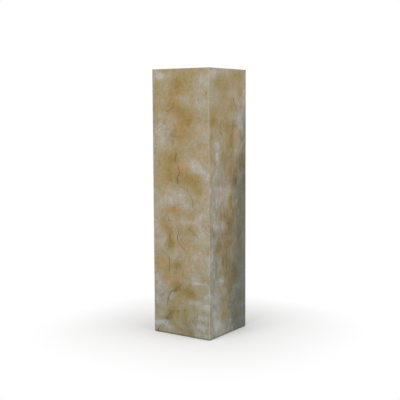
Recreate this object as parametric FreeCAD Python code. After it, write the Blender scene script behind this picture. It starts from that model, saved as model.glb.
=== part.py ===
import FreeCAD, Part
import math
import os

# A square pedestal column, one metre tall, faced all round with thin sheets of natural stone.
#
# Under the stone it is a hollow box of four mitred side panels.  Battens glued into its corners
# are screwed to a base board and a top board, and two stiffener boards are housed in its walls.
# It stands on four levelling feet, which screw into the base board and are hidden behind the
# lower edge of the walls.  All sizes are in millimetres.
#
# The origin is on the floor, under the middle of the column.  +Z is up and the front faces -Y.

# ---------------------------------------------------------------- driving dimensions

WIDTH = 255.0              # over the stone, the same both ways
HEIGHT = 1000.0            # floor to top face
STONE = 3.0                # thickness of the stone sheets
PANEL = 15.0               # thickness of the side panels
SHADOW_GAP = 2.0           # floor to the lower edge of stone and panels
ARRIS = 1.5                # eased edge on the four upright corners
TOP_ARRIS = 0.6            # eased edge round the top

BOARD = 18.0               # thickness of the base board and the top board
BASE_HOUSING = 5.0         # how far the base board is let into the panels
STIFFENER = 12.0           # thickness of the two stiffener boards
STIFFENER_HOUSING = 4.0    # how far they are let into the panels
STIFFENER_HOLE = 40.0      # radius of the hand hole in each
STIFFENER_HEIGHTS = {"lower": HEIGHT / 3, "upper": HEIGHT * 2 / 3}

BATTEN = 28.0              # corner batten, both ways
BATTEN_BEVEL = 8.0         # bevel along its inner corner

SPLINE_WIDTH = 12.0        # loose tongue across each mitre
SPLINE_THICKNESS = 4.0
SPLINE_INSET = 7.5         # from the panels' outer faces to the tongue's middle
SPLINE_STOP = 60.0         # the tongue stops this far short of the panels' ends

SCREW_SHANK = 2.1          # radii of the countersunk wood screws in base board and top board
SCREW_HEAD = 4.4
SCREW_LENGTH = 60.0

FOOT_OFFSET = 82.0         # feet from the column's middle, along X and along Y
FOOT_TRAVEL = 12.0         # how far a foot screws out
FOOT_TURN = 45.0           # the inserts' prongs point to the column's corners
FOOT_BASE = 20.0           # radius of the dished foot
FOOT_BASE_RIM = 1.0        # floor to the lower edge of its rim
FOOT_RIM_THICKNESS = 1.6
FOOT_BASE_TOP = 7.9        # floor to the top of its boss
FOOT_BOSS = 8.5            # radius of the boss
FOOT_BOSS_HEIGHT = 2.0     # above the dish
SOLE = 18.0                # radius of the rubber sole
SOLE_THICKNESS = 2.5
THREAD = 4.0               # radius of the M8 stud
RUNNING = 0.06             # radial clearance where a shaft turns or slides in a hole
COLLAR = 13.0              # hexagon of the stud, across its flats
COLLAR_THICKNESS = 4.0
COLLAR_GAP = 0.3           # below the hexagon, and above it when the foot is screwed right in
STUD_SPARE = 2.7           # above the insert when the foot is screwed right out
STUD_LEAD = 1.0            # chamfer at the stud's upper end
SPIGOT_HEAD = 6.0          # radius of the swaged head that keeps the stud in its foot
SPIGOT_HEAD_THICKNESS = 1.2
SPIGOT_HEAD_ROOM = 0.25    # round the swaged head
SPIGOT_HEAD_LIFT = 0.4     # sole to the swaged head

INSERT_FLANGE = 12.0       # radius of the pronged insert's flange
INSERT_FLANGE_THICKNESS = 1.5
INSERT_BARREL = 5.25       # radius of its barrel
INSERT_LENGTH = 15.0
PRONG_COUNT = 4
PRONG_RADIUS = 9.4
PRONG_WIDTH = 3.4
PRONG_THICKNESS = 1.3
PRONG_LENGTH = 7.0

OVERCUT = 1.0              # how far a cutting shape runs past what it cuts
EXACT = 1e-6               # sizes closer than this are the same

# ---------------------------------------------------------------- sizes that follow

OUTER = WIDTH / 2                          # middle to the stone's face
PANEL_OUTER = OUTER - STONE                # middle to the panels' outer face
PANEL_INNER = PANEL_OUTER - PANEL          # middle to the panels' inner face
PANEL_TOP = HEIGHT - STONE
COLLAR_BOTTOM = FOOT_BASE_TOP + COLLAR_GAP
COLLAR_TOP = COLLAR_BOTTOM + COLLAR_THICKNESS
INSERT_BOTTOM = COLLAR_TOP + COLLAR_GAP
INSERT_TOP = INSERT_BOTTOM + INSERT_LENGTH
STUD_TOP = INSERT_TOP + FOOT_TRAVEL + STUD_SPARE
SPIGOT_HEAD_BOTTOM = SOLE_THICKNESS + SPIGOT_HEAD_LIFT
SPIGOT_HEAD_TOP = SPIGOT_HEAD_BOTTOM + SPIGOT_HEAD_THICKNESS
BASE_RECESS = INSERT_BOTTOM + INSERT_FLANGE_THICKNESS
BASE_TOP = BASE_RECESS + BOARD
TOP_UNDERSIDE = PANEL_TOP - BOARD
BATTEN_INNER = PANEL_INNER - BATTEN        # middle to a batten's inner faces
BATTEN_MIDDLE = PANEL_INNER - BATTEN / 2
SPLINE_MIDDLE = PANEL_OUTER - SPLINE_INSET

UP = FreeCAD.Vector(0, 0, 1)
MIDDLE = FreeCAD.Vector(0, 0, 0)
SIDE_TURNS = {"front": 0, "right": 90, "back": 180, "left": 270}
CORNERS = {
    "front_left": (-1, -1),
    "front_right": (1, -1),
    "back_right": (1, 1),
    "back_left": (-1, 1),
}


# ---------------------------------------------------------------- plain shapes

def point(x, y, z):
    return FreeCAD.Vector(x, y, z)


def block(x0, x1, y0, y1, z0, z1):
    return Part.makeBox(x1 - x0, y1 - y0, z1 - z0, point(x0, y0, z0))


def square_block(half, z0, z1):
    """A square block about the column's axis, half its width each way."""
    return block(-half, half, -half, half, z0, z1)


def outline_of(corners):
    """The closed outline through a list of corners."""
    return Part.makePolygon(corners + corners[:1])


def prism(corners, height):
    """The flat shape through the corners, drawn up to a height."""
    return Part.Face(outline_of(corners)).extrude(UP * height)


def square_outline(half, z):
    return outline_of([point(x * half, y * half, z) for x, y in CORNERS.values()])


def cylinder(radius, z0, z1, x=0.0, y=0.0):
    return Part.makeCylinder(radius, z1 - z0, point(x, y, z0))


def turned(outline, x=0.0, y=0.0):
    """A solid of revolution about the upright line through x, y, from (radius, height) points."""
    solid = Part.Face(outline_of([point(r, 0, z) for r, z in outline])).revolve(MIDDLE, UP, 360)
    solid.translate(point(x, y, 0))
    return solid


def hexagon(across_flats, z0, z1, x, y):
    radius = across_flats / math.sqrt(3)
    angles = [math.radians(60 * n) for n in range(6)]
    corners = [point(x + radius * math.cos(a), y + radius * math.sin(a), z0) for a in angles]
    return prism(corners, z1 - z0)


def edges_where(shape, test):
    return [edge for edge in shape.Edges if test(edge)]


def is_upright(edge):
    box = edge.BoundBox
    return box.ZLength > EXACT and box.XLength < EXACT and box.YLength < EXACT


def is_level_at(z):
    return lambda edge: edge.BoundBox.ZLength < EXACT and abs(edge.BoundBox.ZMin - z) < EXACT


def side_wedge(side):
    """The quarter of the plan that belongs to one side, bounded by the two mitre planes."""
    corners = [point(0, 0, 0), point(-WIDTH, -WIDTH, 0), point(WIDTH, -WIDTH, 0)]
    wedge = prism(corners, HEIGHT + OVERCUT)
    wedge.rotate(MIDDLE, UP, SIDE_TURNS[side])
    return wedge


# ---------------------------------------------------------------- the stone facing

def stone_envelope():
    """The column's outside: a square shaft with eased upright corners and an eased top edge."""
    shaft = square_block(OUTER, SHADOW_GAP, HEIGHT)
    shaft = shaft.makeChamfer(ARRIS, edges_where(shaft, is_upright))
    return shaft.makeChamfer(TOP_ARRIS, edges_where(shaft, is_level_at(HEIGHT)))


def top_mitre():
    """The body under the top sheet's mitred edge: wider by one sheet each side at its top."""
    outlines = [square_outline(PANEL_OUTER, PANEL_TOP), square_outline(OUTER, HEIGHT)]
    return Part.makeLoft(outlines, True, True)


def top_stone(envelope):
    return envelope.common(top_mitre())


def side_stones(envelope):
    """The four upright sheets, mitred to each other and to the top sheet."""
    shell = envelope.cut(square_block(PANEL_OUTER, 0, PANEL_TOP)).cut(top_mitre())
    return {side + "_stone": shell.common(side_wedge(side)) for side in SIDE_TURNS}


# ---------------------------------------------------------------- screws

def wood_screws(head_height, pointing):
    """Four countersunk screws into the battens' ends: pointing is 1 for up and -1 for down."""
    screws = []
    for x, y in CORNERS.values():
        outline = [
            (0, 0),
            (SCREW_HEAD, 0),
            (SCREW_SHANK, pointing * (SCREW_HEAD - SCREW_SHANK)),
            (SCREW_SHANK, pointing * SCREW_LENGTH),
            (0, pointing * SCREW_LENGTH),
        ]
        outline = [(r, head_height + z) for r, z in outline]
        screws.append(turned(outline, x * BATTEN_MIDDLE, y * BATTEN_MIDDLE))
    return Part.makeCompound(screws)


# ---------------------------------------------------------------- boards, panels and battens

def base_board(cutters):
    board = square_block(PANEL_INNER + BASE_HOUSING, BASE_RECESS, BASE_TOP)
    for x, y in CORNERS.values():
        board = board.cut(cylinder(INSERT_BARREL, 0, HEIGHT, x * FOOT_OFFSET, y * FOOT_OFFSET))
    return board.cut(cutters).removeSplitter()


def top_board(cutters):
    return square_block(PANEL_INNER, TOP_UNDERSIDE, PANEL_TOP).cut(cutters)


def stiffener(middle_height):
    """A board across the hollow, tongued into all four walls and notched round the battens."""
    z0 = middle_height - STIFFENER / 2
    z1 = middle_height + STIFFENER / 2
    reach = PANEL_INNER + STIFFENER_HOUSING
    board = square_block(reach, z0, z1).cut(cylinder(STIFFENER_HOLE, z0 - OVERCUT, z1 + OVERCUT))
    for x, y in CORNERS.values():
        xs = sorted((x * BATTEN_INNER, x * WIDTH))
        ys = sorted((y * BATTEN_INNER, y * WIDTH))
        board = board.cut(block(*xs, *ys, z0 - OVERCUT, z1 + OVERCUT))
    return board


def corner_batten(corner, cutters):
    """A square batten with its inner corner bevelled, from the base board to the top board."""
    x, y = CORNERS[corner]
    inner = BATTEN_INNER
    outer = PANEL_INNER
    corners = [
        point(x * outer, y * outer, BASE_TOP),
        point(x * inner, y * outer, BASE_TOP),
        point(x * inner, y * (inner + BATTEN_BEVEL), BASE_TOP),
        point(x * (inner + BATTEN_BEVEL), y * inner, BASE_TOP),
        point(x * outer, y * inner, BASE_TOP),
    ]
    return prism(corners, TOP_UNDERSIDE - BASE_TOP).cut(cutters)


def mitre_spline(corner):
    """The loose tongue that crosses the mitre between two panels."""
    x, y = CORNERS[corner]
    half_thickness = SPLINE_THICKNESS / 2
    half_width = SPLINE_WIDTH / 2
    z0 = SHADOW_GAP + SPLINE_STOP
    z1 = PANEL_TOP - SPLINE_STOP
    tongue = block(-half_thickness, half_thickness, -half_width, half_width, z0, z1)
    tongue.rotate(MIDDLE, UP, 45 * x * y)
    tongue.translate(point(x * SPLINE_MIDDLE, y * SPLINE_MIDDLE, 0))
    return tongue


def side_panels(cutters):
    """The four walls, mitred at the corners, with housings for whatever is let into them."""
    walls = square_block(PANEL_OUTER, SHADOW_GAP, PANEL_TOP).cut(square_block(PANEL_INNER, 0, HEIGHT))
    walls = walls.cut(cutters)
    return {side + "_panel": walls.common(side_wedge(side)) for side in SIDE_TURNS}


# ---------------------------------------------------------------- levelling feet

def pronged_insert(x, y):
    """The threaded insert in the base board: a flange below, a barrel and four prongs above."""
    body = cylinder(INSERT_FLANGE, INSERT_BOTTOM, BASE_RECESS, x, y)
    body = body.fuse(cylinder(INSERT_BARREL, INSERT_BOTTOM, INSERT_TOP, x, y))
    half = PRONG_WIDTH / 2
    outline = outline_of([
        point(PRONG_RADIUS, -half, INSERT_BOTTOM),
        point(PRONG_RADIUS, half, INSERT_BOTTOM),
        point(PRONG_RADIUS, half, BASE_RECESS + PRONG_LENGTH / 2),
        point(PRONG_RADIUS, 0, BASE_RECESS + PRONG_LENGTH),
        point(PRONG_RADIUS, -half, BASE_RECESS + PRONG_LENGTH / 2),
    ])
    for n in range(PRONG_COUNT):
        prong = Part.Face(outline).extrude(point(PRONG_THICKNESS, 0, 0))
        prong.rotate(MIDDLE, UP, FOOT_TURN + 360 * n / PRONG_COUNT)
        prong.translate(point(x, y, 0))
        body = body.fuse(prong)
    return body.cut(cylinder(THREAD + RUNNING, 0, HEIGHT, x, y)).removeSplitter()


def foot_sole(x, y):
    return cylinder(SOLE, 0, SOLE_THICKNESS, x, y)


def foot_base(x, y):
    """A dished foot with a boss, hollow beneath for the sole and for the stud's swaged head."""
    bore = THREAD + RUNNING
    head_room = SPIGOT_HEAD + SPIGOT_HEAD_ROOM
    head_ceiling = SPIGOT_HEAD_TOP + RUNNING
    return turned([
        (bore, FOOT_BASE_TOP),
        (FOOT_BOSS, FOOT_BASE_TOP),
        (FOOT_BOSS, FOOT_BASE_TOP - FOOT_BOSS_HEIGHT),
        (FOOT_BASE, FOOT_BASE_RIM + FOOT_RIM_THICKNESS),
        (FOOT_BASE, FOOT_BASE_RIM),
        (SOLE, FOOT_BASE_RIM),
        (SOLE, SOLE_THICKNESS),
        (head_room, SOLE_THICKNESS),
        (head_room, head_ceiling),
        (bore, head_ceiling),
    ], x, y)


def foot_stud(x, y):
    """The M8 stud: swaged head and spigot in the foot, hexagon for a spanner, threaded length."""
    shaft = turned([
        (0, SPIGOT_HEAD_BOTTOM),
        (SPIGOT_HEAD, SPIGOT_HEAD_BOTTOM),
        (SPIGOT_HEAD, SPIGOT_HEAD_TOP),
        (THREAD, SPIGOT_HEAD_TOP),
        (THREAD, STUD_TOP - STUD_LEAD),
        (THREAD - STUD_LEAD, STUD_TOP),
        (0, STUD_TOP),
    ], x, y)
    return shaft.fuse(hexagon(COLLAR, COLLAR_BOTTOM, COLLAR_TOP, x, y)).removeSplitter()


# ---------------------------------------------------------------- the whole column

def build():
    """Every piece of the column as {name: shape}."""
    nodes = {}
    envelope = stone_envelope()
    nodes.update(side_stones(envelope))
    nodes["top_stone"] = top_stone(envelope)

    screws = [wood_screws(BASE_RECESS, 1), wood_screws(PANEL_TOP, -1)]
    nodes["base_screws"], nodes["top_screws"] = screws
    foot_places = {c: (x * FOOT_OFFSET, y * FOOT_OFFSET) for c, (x, y) in CORNERS.items()}
    inserts = Part.makeCompound([pronged_insert(x, y) for x, y in foot_places.values()])
    nodes["threaded_inserts"] = inserts
    nodes["base_board"] = base_board(screws + [inserts])
    nodes["top_board"] = top_board(screws)

    housed = [square_block(PANEL_INNER + BASE_HOUSING, BASE_RECESS, BASE_TOP)]
    for name, middle_height in STIFFENER_HEIGHTS.items():
        board = stiffener(middle_height)
        nodes[name + "_stiffener"] = board
        housed.append(board)

    for corner in CORNERS:
        nodes["corner_batten_" + corner] = corner_batten(corner, screws)
        spline = mitre_spline(corner)
        nodes["mitre_spline_" + corner] = spline
        housed.append(spline)
    nodes.update(side_panels(housed))

    for corner, (x, y) in foot_places.items():
        nodes["foot_sole_" + corner] = foot_sole(x, y)
        nodes["foot_base_" + corner] = foot_base(x, y)
        nodes["foot_stud_" + corner] = foot_stud(x, y)
    return nodes


def main():
    os.makedirs("parts", exist_ok=True)
    for name, shape in build().items():
        solids = shape.Solids
        kept = solids[0] if len(solids) == 1 else Part.makeCompound(solids)
        kept.exportStep("parts/" + name + ".step")
        box = kept.BoundBox
        print(
            f"{name:32s} {len(solids):3d} solids  valid {kept.isValid()}  {kept.Volume / 1000:9.2f} cm3  "
            f"x {box.XMin:7.1f} {box.XMax:7.1f}  y {box.YMin:7.1f} {box.YMax:7.1f}  z {box.ZMin:7.1f} {box.ZMax:7.1f}"
        )


main()
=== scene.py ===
import math

import bmesh
import bpy
from mathutils import Euler, Matrix, Vector


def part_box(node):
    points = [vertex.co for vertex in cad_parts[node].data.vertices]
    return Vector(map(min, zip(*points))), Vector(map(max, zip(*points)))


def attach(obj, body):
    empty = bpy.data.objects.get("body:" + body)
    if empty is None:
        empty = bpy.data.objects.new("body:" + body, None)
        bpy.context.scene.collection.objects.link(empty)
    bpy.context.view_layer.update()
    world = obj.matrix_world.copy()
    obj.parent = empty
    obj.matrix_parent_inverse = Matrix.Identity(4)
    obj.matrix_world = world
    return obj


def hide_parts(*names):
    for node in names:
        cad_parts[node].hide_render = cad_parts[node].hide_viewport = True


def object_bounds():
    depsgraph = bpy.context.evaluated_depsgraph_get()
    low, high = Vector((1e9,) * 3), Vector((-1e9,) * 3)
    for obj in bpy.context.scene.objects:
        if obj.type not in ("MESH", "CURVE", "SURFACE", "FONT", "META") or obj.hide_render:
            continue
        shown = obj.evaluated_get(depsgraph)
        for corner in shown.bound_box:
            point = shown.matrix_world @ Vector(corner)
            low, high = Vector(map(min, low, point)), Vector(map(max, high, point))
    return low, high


# The finish of a square pedestal column, one metre tall, that is faced with thin sheets of mottled
# natural stone.  Lengths are in metres, except the lists of the stone's marks, which are in
# millimetres on the face of a sheet: across from its left edge, and up from the floor.

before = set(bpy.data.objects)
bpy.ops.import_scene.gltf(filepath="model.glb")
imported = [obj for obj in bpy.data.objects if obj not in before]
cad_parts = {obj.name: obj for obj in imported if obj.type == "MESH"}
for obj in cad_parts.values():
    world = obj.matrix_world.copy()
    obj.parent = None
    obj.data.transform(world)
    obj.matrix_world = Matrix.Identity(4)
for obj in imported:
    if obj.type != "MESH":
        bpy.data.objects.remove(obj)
cad_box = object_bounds()

# ---------------------------------------------------------------- driving values

MM = 0.001
HALF = cad_box[1].x                        # the column's middle to the face of the stone
WIDTH = 2 * HALF
HEIGHT = cad_box[1].z
CORNERS = ("front_left", "front_right", "back_right", "back_left")
SIDES = ("front", "right", "back", "left")
X, Y, Z = Vector((1, 0, 0)), Vector((0, 1, 0)), Vector((0, 0, 1))

CAMERA_PLACE = (1.778, -2.605, 0.849)
CAMERA_HEADING = math.radians(34.32)       # turned to the left of straight ahead
CAMERA_DIP = math.radians(6.23)
CAMERA_ROLL = math.radians(-0.25)
CAMERA_LENS = 74.31                        # in millimetres, as is the sensor's width
CAMERA_SENSOR = 36.0

LAMP_SIZE = 2.2                            # across each of the two round lamps
FRONT_LAMP = ((-0.2, -2.7, 3.0), 42)       # place, and power in watts
RIGHT_LAMP = ((2.7, 0.2, 3.0), 25)
SKY_LEVEL = 0.58                           # light from all round
WHITE = (1, 1, 1, 1)
FLOOR_TONE = 0.94
FLOOR_REACH = 12.0                         # from the column to the floor's edges
FADE = 0.47                                # the floor turns white over this distance from the column


def tone(red, green, blue):
    """A colour given as it looks on a screen, 0 to 255, as the renderer's linear values."""
    def linear(value):
        value /= 255
        return value / 12.92 if value <= 0.04045 else ((value + 0.055) / 1.055) ** 2.4
    return (linear(red), linear(green), linear(blue), 1.0)


# ---------------------------------------------------------------- nodes, in any tree

class Field:
    """A node's output, to reckon with like a number or a vector.  Each step adds a node."""

    def __init__(self, socket):
        self.socket = socket
        self.tree = socket.id_data

    def maths(self, operation, *values):
        """One maths node, for vectors where this field is a vector or a colour."""
        kind = "ShaderNodeMath" if is_number(self) else "ShaderNodeVectorMath"
        output = "Value" if operation in ("LENGTH", "DOT_PRODUCT") else 0
        return field(self.tree, kind, dict(enumerate(values)), output, operation=operation)

    def __add__(self, other):
        return self.maths("ADD", self, other)

    def __sub__(self, other):
        return self.maths("SUBTRACT", self, other)

    def __rsub__(self, other):
        return self.maths("SUBTRACT", other, self)

    def __mul__(self, other):
        """A vector is scaled by a number, and multiplied part by part by another vector."""
        if is_number(other) and not is_number(self):
            return field(self.tree, "ShaderNodeVectorMath", {0: self, "Scale": other}, operation="SCALE")
        return self.maths("MULTIPLY", self, other)

    def __truediv__(self, other):
        return self.maths("DIVIDE", self, other)

    def __neg__(self):
        return self * -1

    def __abs__(self):
        return self.maths("ABSOLUTE", self)

    def times(self, factor, plus):
        """This field times factor, plus something, in one node."""
        return self.maths("MULTIPLY_ADD", self, factor, plus)

    def at_least(self, other):
        return self.maths("MAXIMUM", other, self)

    def at_most(self, other):
        return self.maths("MINIMUM", self, other)

    def clamped(self):
        """This field, which a maths node has made, held between 0 and 1."""
        self.socket.node.use_clamp = True
        return self

    def fraction(self):
        """How far it is above the whole number below it."""
        return self.maths("FRACT", self)

    def dot(self, axis):
        return self.maths("DOT_PRODUCT", self, axis)

    def length(self):
        return self.maths("LENGTH", self)

    def unit(self):
        return self.maths("NORMALIZE", self)


def is_number(value):
    """Whether a field or a plain value is one number, and no vector or colour."""
    return value.socket.type == "VALUE" if isinstance(value, Field) else isinstance(value, (int, float))


def connect(socket, value):
    """Links a field to an input, or sets the input to a plain value."""
    if isinstance(value, Field):
        value.tree.links.new(value.socket, socket)
    else:
        socket.default_value = value


def add(tree, kind, inputs=None, **settings):
    """Adds a node.  Its inputs are given by name or number."""
    node = tree.nodes.new(kind)
    for name, value in settings.items():
        setattr(node, name, value)
    for key, value in (inputs or {}).items():
        connect(node.inputs[key], value)
    return node


def field(tree, kind, inputs=None, output=0, **settings):
    """Adds a node and gives one of its outputs."""
    return Field(add(tree, kind, inputs, **settings).outputs[output])


def feed(node, **values):
    """Sets or links a node's inputs.  A socket's name is given with _ for each space."""
    for name, value in values.items():
        connect(node.inputs[name.replace("_", " ")], value)


def tree_of(*values):
    """The tree of the first field among some values."""
    return next(value.tree for value in values if isinstance(value, Field))


def split(value):
    """The three parts of a vector."""
    return [Field(socket) for socket in add(value.tree, "ShaderNodeSeparateXYZ", {0: value}).outputs]


def joined(*parts):
    """A vector from its first parts.  The others are 0."""
    return field(tree_of(*parts), "ShaderNodeCombineXYZ", dict(enumerate(parts)))


def ramp(value, low, high, start=0.0, end=1.0, kind="SMOOTHSTEP"):
    """start up to low, end from high on, and smooth or straight between them."""
    inputs = dict(enumerate((value, low, high, start, end)))
    return field(value.tree, "ShaderNodeMapRange", inputs, interpolation_type=kind)


def noise(place, size, detail=3.0, roughness=0.5, output=0, distortion=0.0):
    """Cloudy noise whose largest blotches measure about size.  Output 1 is three values at once."""
    inputs = {"Vector": place, "Scale": 1 / size, "Detail": detail, "Roughness": roughness}
    return field(place.tree, "ShaderNodeTexNoise", inputs | {"Distortion": distortion}, output)


def wander(place, size, detail, roughness):
    """A noisy vector round zero, to lead places astray with."""
    return noise(place, size, detail, roughness, output=1) - (0.5, 0.5, 0.5)


def mix(factor, below, above, blend="MIX"):
    tree = tree_of(factor, below, above)
    inputs = {0: factor, 6: below, 7: above}
    return field(tree, "ShaderNodeMix", inputs, 2, data_type="RGBA", blend_type=blend)


def shades(value, stops):
    """The colour at value, run smoothly through (value, screen colour) stops."""
    node = add(value.tree, "ShaderNodeValToRGB", {0: value})
    elements = node.color_ramp.elements
    while len(elements) < len(stops):
        elements.new(0.5)
    for element, (position, colour) in zip(elements, stops):
        element.position = position
        element.color = tone(*colour)
    return Field(node.outputs[0])


def new_group(name, inputs, outputs, kind="ShaderNodeTree"):
    """A node group, and its inputs' fields.  Each input has its default, or else its kind of socket."""
    group = bpy.data.node_groups.new(name, kind)
    for socket_name, default in inputs.items():
        made = {float: "Float", int: "Int", tuple: "Vector"}.get(type(default), default)
        socket = group.interface.new_socket(socket_name, in_out="INPUT", socket_type="NodeSocket" + made)
        if made != default:
            socket.default_value = default
    for socket_name, made in outputs.items():
        group.interface.new_socket(socket_name, in_out="OUTPUT", socket_type="NodeSocket" + made)
    return group, {socket.name: Field(socket) for socket in group.nodes.new("NodeGroupInput").outputs}


def give(group, **values):
    """Feeds a group's outputs."""
    feed(group.nodes.new("NodeGroupOutput"), **values)
    return group


def use(group, **inputs):
    """Places a node group in the tree of the fields it is given.  Returns its outputs by name."""
    kind = group.bl_idname.replace("Tree", "Group")
    node = add(tree_of(*inputs.values()), kind, node_tree=group)
    feed(node, **inputs)
    return {socket.name: Field(socket) for socket in node.outputs}


def new_material(name):
    """A material with a Principled BSDF, and the place in space for its nodes."""
    material = bpy.data.materials.new(name)
    material.use_nodes = True
    return material, field(material.node_tree, "ShaderNodeTexCoord", output="Object")


def painted(material, colour, rough, height, depth, **others):
    """Finishes a material.  The height, 0 to 1, is a bump that stands for depth in metres."""
    tree = material.node_tree
    normal = field(tree, "ShaderNodeBump", {"Strength": 1.0, "Distance": depth, "Height": height})
    feed(tree.nodes["Principled BSDF"], Base_Color=colour, Roughness=rough, Normal=normal, **others)
    return material


# ---------------------------------------------------------------- the stone's marks

# Each patch is (across, up, half its width, half its height, strength), and its turn in degrees where
# it isn't level.  Rust is ochre iron stain, blush a pinkish tan, veil pale calcite and umber brown.
# Slate is grey green stone and partly painted shade, most on the right face, which darkens towards
# its far edge and its foot.

FRONT_PATCHES = {
"Rust": (
    (120, 936, 32, 24, 1.0), (128, 956, 46, 20, 0.5), (152, 986, 36, 18, 0.5), (84, 896, 38, 22, 0.9, 10),
    (44, 858, 30, 14, 0.6), (96, 868, 26, 18, 0.5), (118, 850, 46, 18, 0.8), (148, 822, 38, 32, 0.9),
    (168, 812, 16, 24, 0.4), (138, 768, 34, 34, 0.8), (128, 738, 34, 24, 0.5), (92, 682, 40, 22, 0.9),
    (80, 642, 48, 30, 0.9), (108, 594, 46, 28, 0.9), (152, 606, 38, 28, 0.6), (190, 576, 34, 26, 1.0),
    (206, 550, 22, 14, 0.6), (34, 600, 38, 34, 0.4), (100, 475, 48, 10, 0.6), (150, 457, 48, 9, 0.5),
    (58, 418, 22, 22, 0.9), (78, 380, 15, 36, 0.9), (170, 404, 22, 18, 0.8), (126, 404, 54, 22, 0.3),
    (130, 350, 56, 14, 0.5), (77, 334, 17, 32, 0.7), (28, 282, 38, 28, 0.4), (106, 266, 26, 13, 0.9),
    (90, 236, 48, 24, 0.6), (98, 190, 26, 15, 1.1), (166, 176, 38, 22, 1.0), (138, 160, 38, 16, 0.5),
    (110, 140, 28, 14, 0.5), (90, 112, 20, 24, 0.7), (146, 96, 24, 18, 0.6), (80, 80, 24, 18, 0.8),
    (116, 70, 48, 36, 0.6), (184, 106, 9, 32, 0.4), (86, 44, 14, 12, 0.5), (160, 14, 20, 14, 0.6),
    (180, 68, 20, 14, 0.4), (20, 98, 20, 18, 0.4),
),
"Blush": (
    (190, 965, 20, 14, 0.5), (110, 880, 26, 12, 0.8), (134, 790, 28, 32, 0.8), (220, 780, 20, 18, 0.6),
    (218, 690, 38, 18, 0.7), (142, 640, 38, 20, 1.0), (30, 664, 38, 24, 0.4), (30, 590, 30, 24, 0.5),
    (65, 545, 22, 13, 0.7), (100, 474, 38, 10, 1.0), (86, 430, 34, 22, 0.5), (190, 440, 16, 12, 0.6),
    (180, 330, 56, 32, 0.6), (30, 276, 42, 24, 0.7), (180, 265, 34, 24, 0.8), (146, 245, 20, 11, 0.8),
    (80, 220, 48, 22, 0.8), (60, 190, 15, 28, 0.6),
),
"Veil": (
    (20, 984, 24, 16, 1.1), (44, 972, 28, 9, 1.0), (228, 950, 30, 20, 0.7), (228, 868, 28, 18, 0.9),
    (236, 908, 24, 22, 0.5), (40, 750, 40, 32, 0.8), (30, 782, 28, 18, 0.4), (240, 770, 18, 28, 0.5),
    (202, 730, 28, 12, 0.5), (206, 635, 38, 16, 1.2, -25), (178, 627, 17, 9, 0.7, -25),
    (236, 600, 26, 32, 0.7), (106, 540, 40, 12, 0.9, -15), (70, 516, 46, 13, 0.9, 6),
    (146, 503, 44, 13, 0.9, -10), (162, 484, 20, 10, 0.7), (210, 455, 17, 11, 1.4), (240, 486, 24, 46, 0.5),
    (12, 420, 18, 46, 0.6), (30, 350, 32, 15, 1.0), (225, 414, 32, 18, 0.6), (236, 380, 28, 24, 0.5),
    (176, 434, 38, 8, 0.5), (110, 310, 26, 14, 0.8), (222, 310, 34, 22, 0.8), (236, 262, 22, 44, 0.4),
    (12, 215, 15, 13, 0.7), (38, 170, 30, 50, 0.5), (200, 205, 32, 5, 1.5), (190, 135, 22, 9, 1.3),
    (80, 142, 13, 10, 0.9), (244, 164, 28, 9, 1.0), (240, 122, 28, 14, 0.9), (236, 206, 20, 5, 0.8),
    (214, 80, 32, 10, 1.2), (10, 125, 13, 10, 1.1), (30, 41, 42, 9, 1.4, 10), (66, 30, 17, 10, 1.2),
    (214, 46, 38, 11, 0.9), (200, 12, 30, 11, 1.0), (150, 36, 20, 7, 0.6),
),
"Slate": (
    (56, 130, 36, 56, 0.35), (15, 190, 26, 50, 0.25), (202, 50, 50, 36, 0.3), (230, 232, 30, 28, 0.25),
    (128, 30, 140, 44, 0.35),
),
"Umber": (
    (118, 934, 16, 10, 0.3), (168, 820, 10, 12, 0.2), (106, 666, 7, 20, 0.5), (114, 590, 11, 15, 0.4),
    (77, 374, 6, 22, 0.5), (100, 172, 22, 6, 0.7, 15), (62, 60, 12, 8, 0.8), (82, 80, 18, 7, 0.5, 30),
    (122, 196, 8, 10, 0.5), (50, 795, 7, 13, 0.4), (28, 655, 9, 9, 0.4), (98, 753, 13, 7, 0.4),
    (91, 726, 4, 13, 0.5), (102, 574, 14, 12, 0.3), (200, 552, 16, 10, 0.2),
),
}

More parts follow.
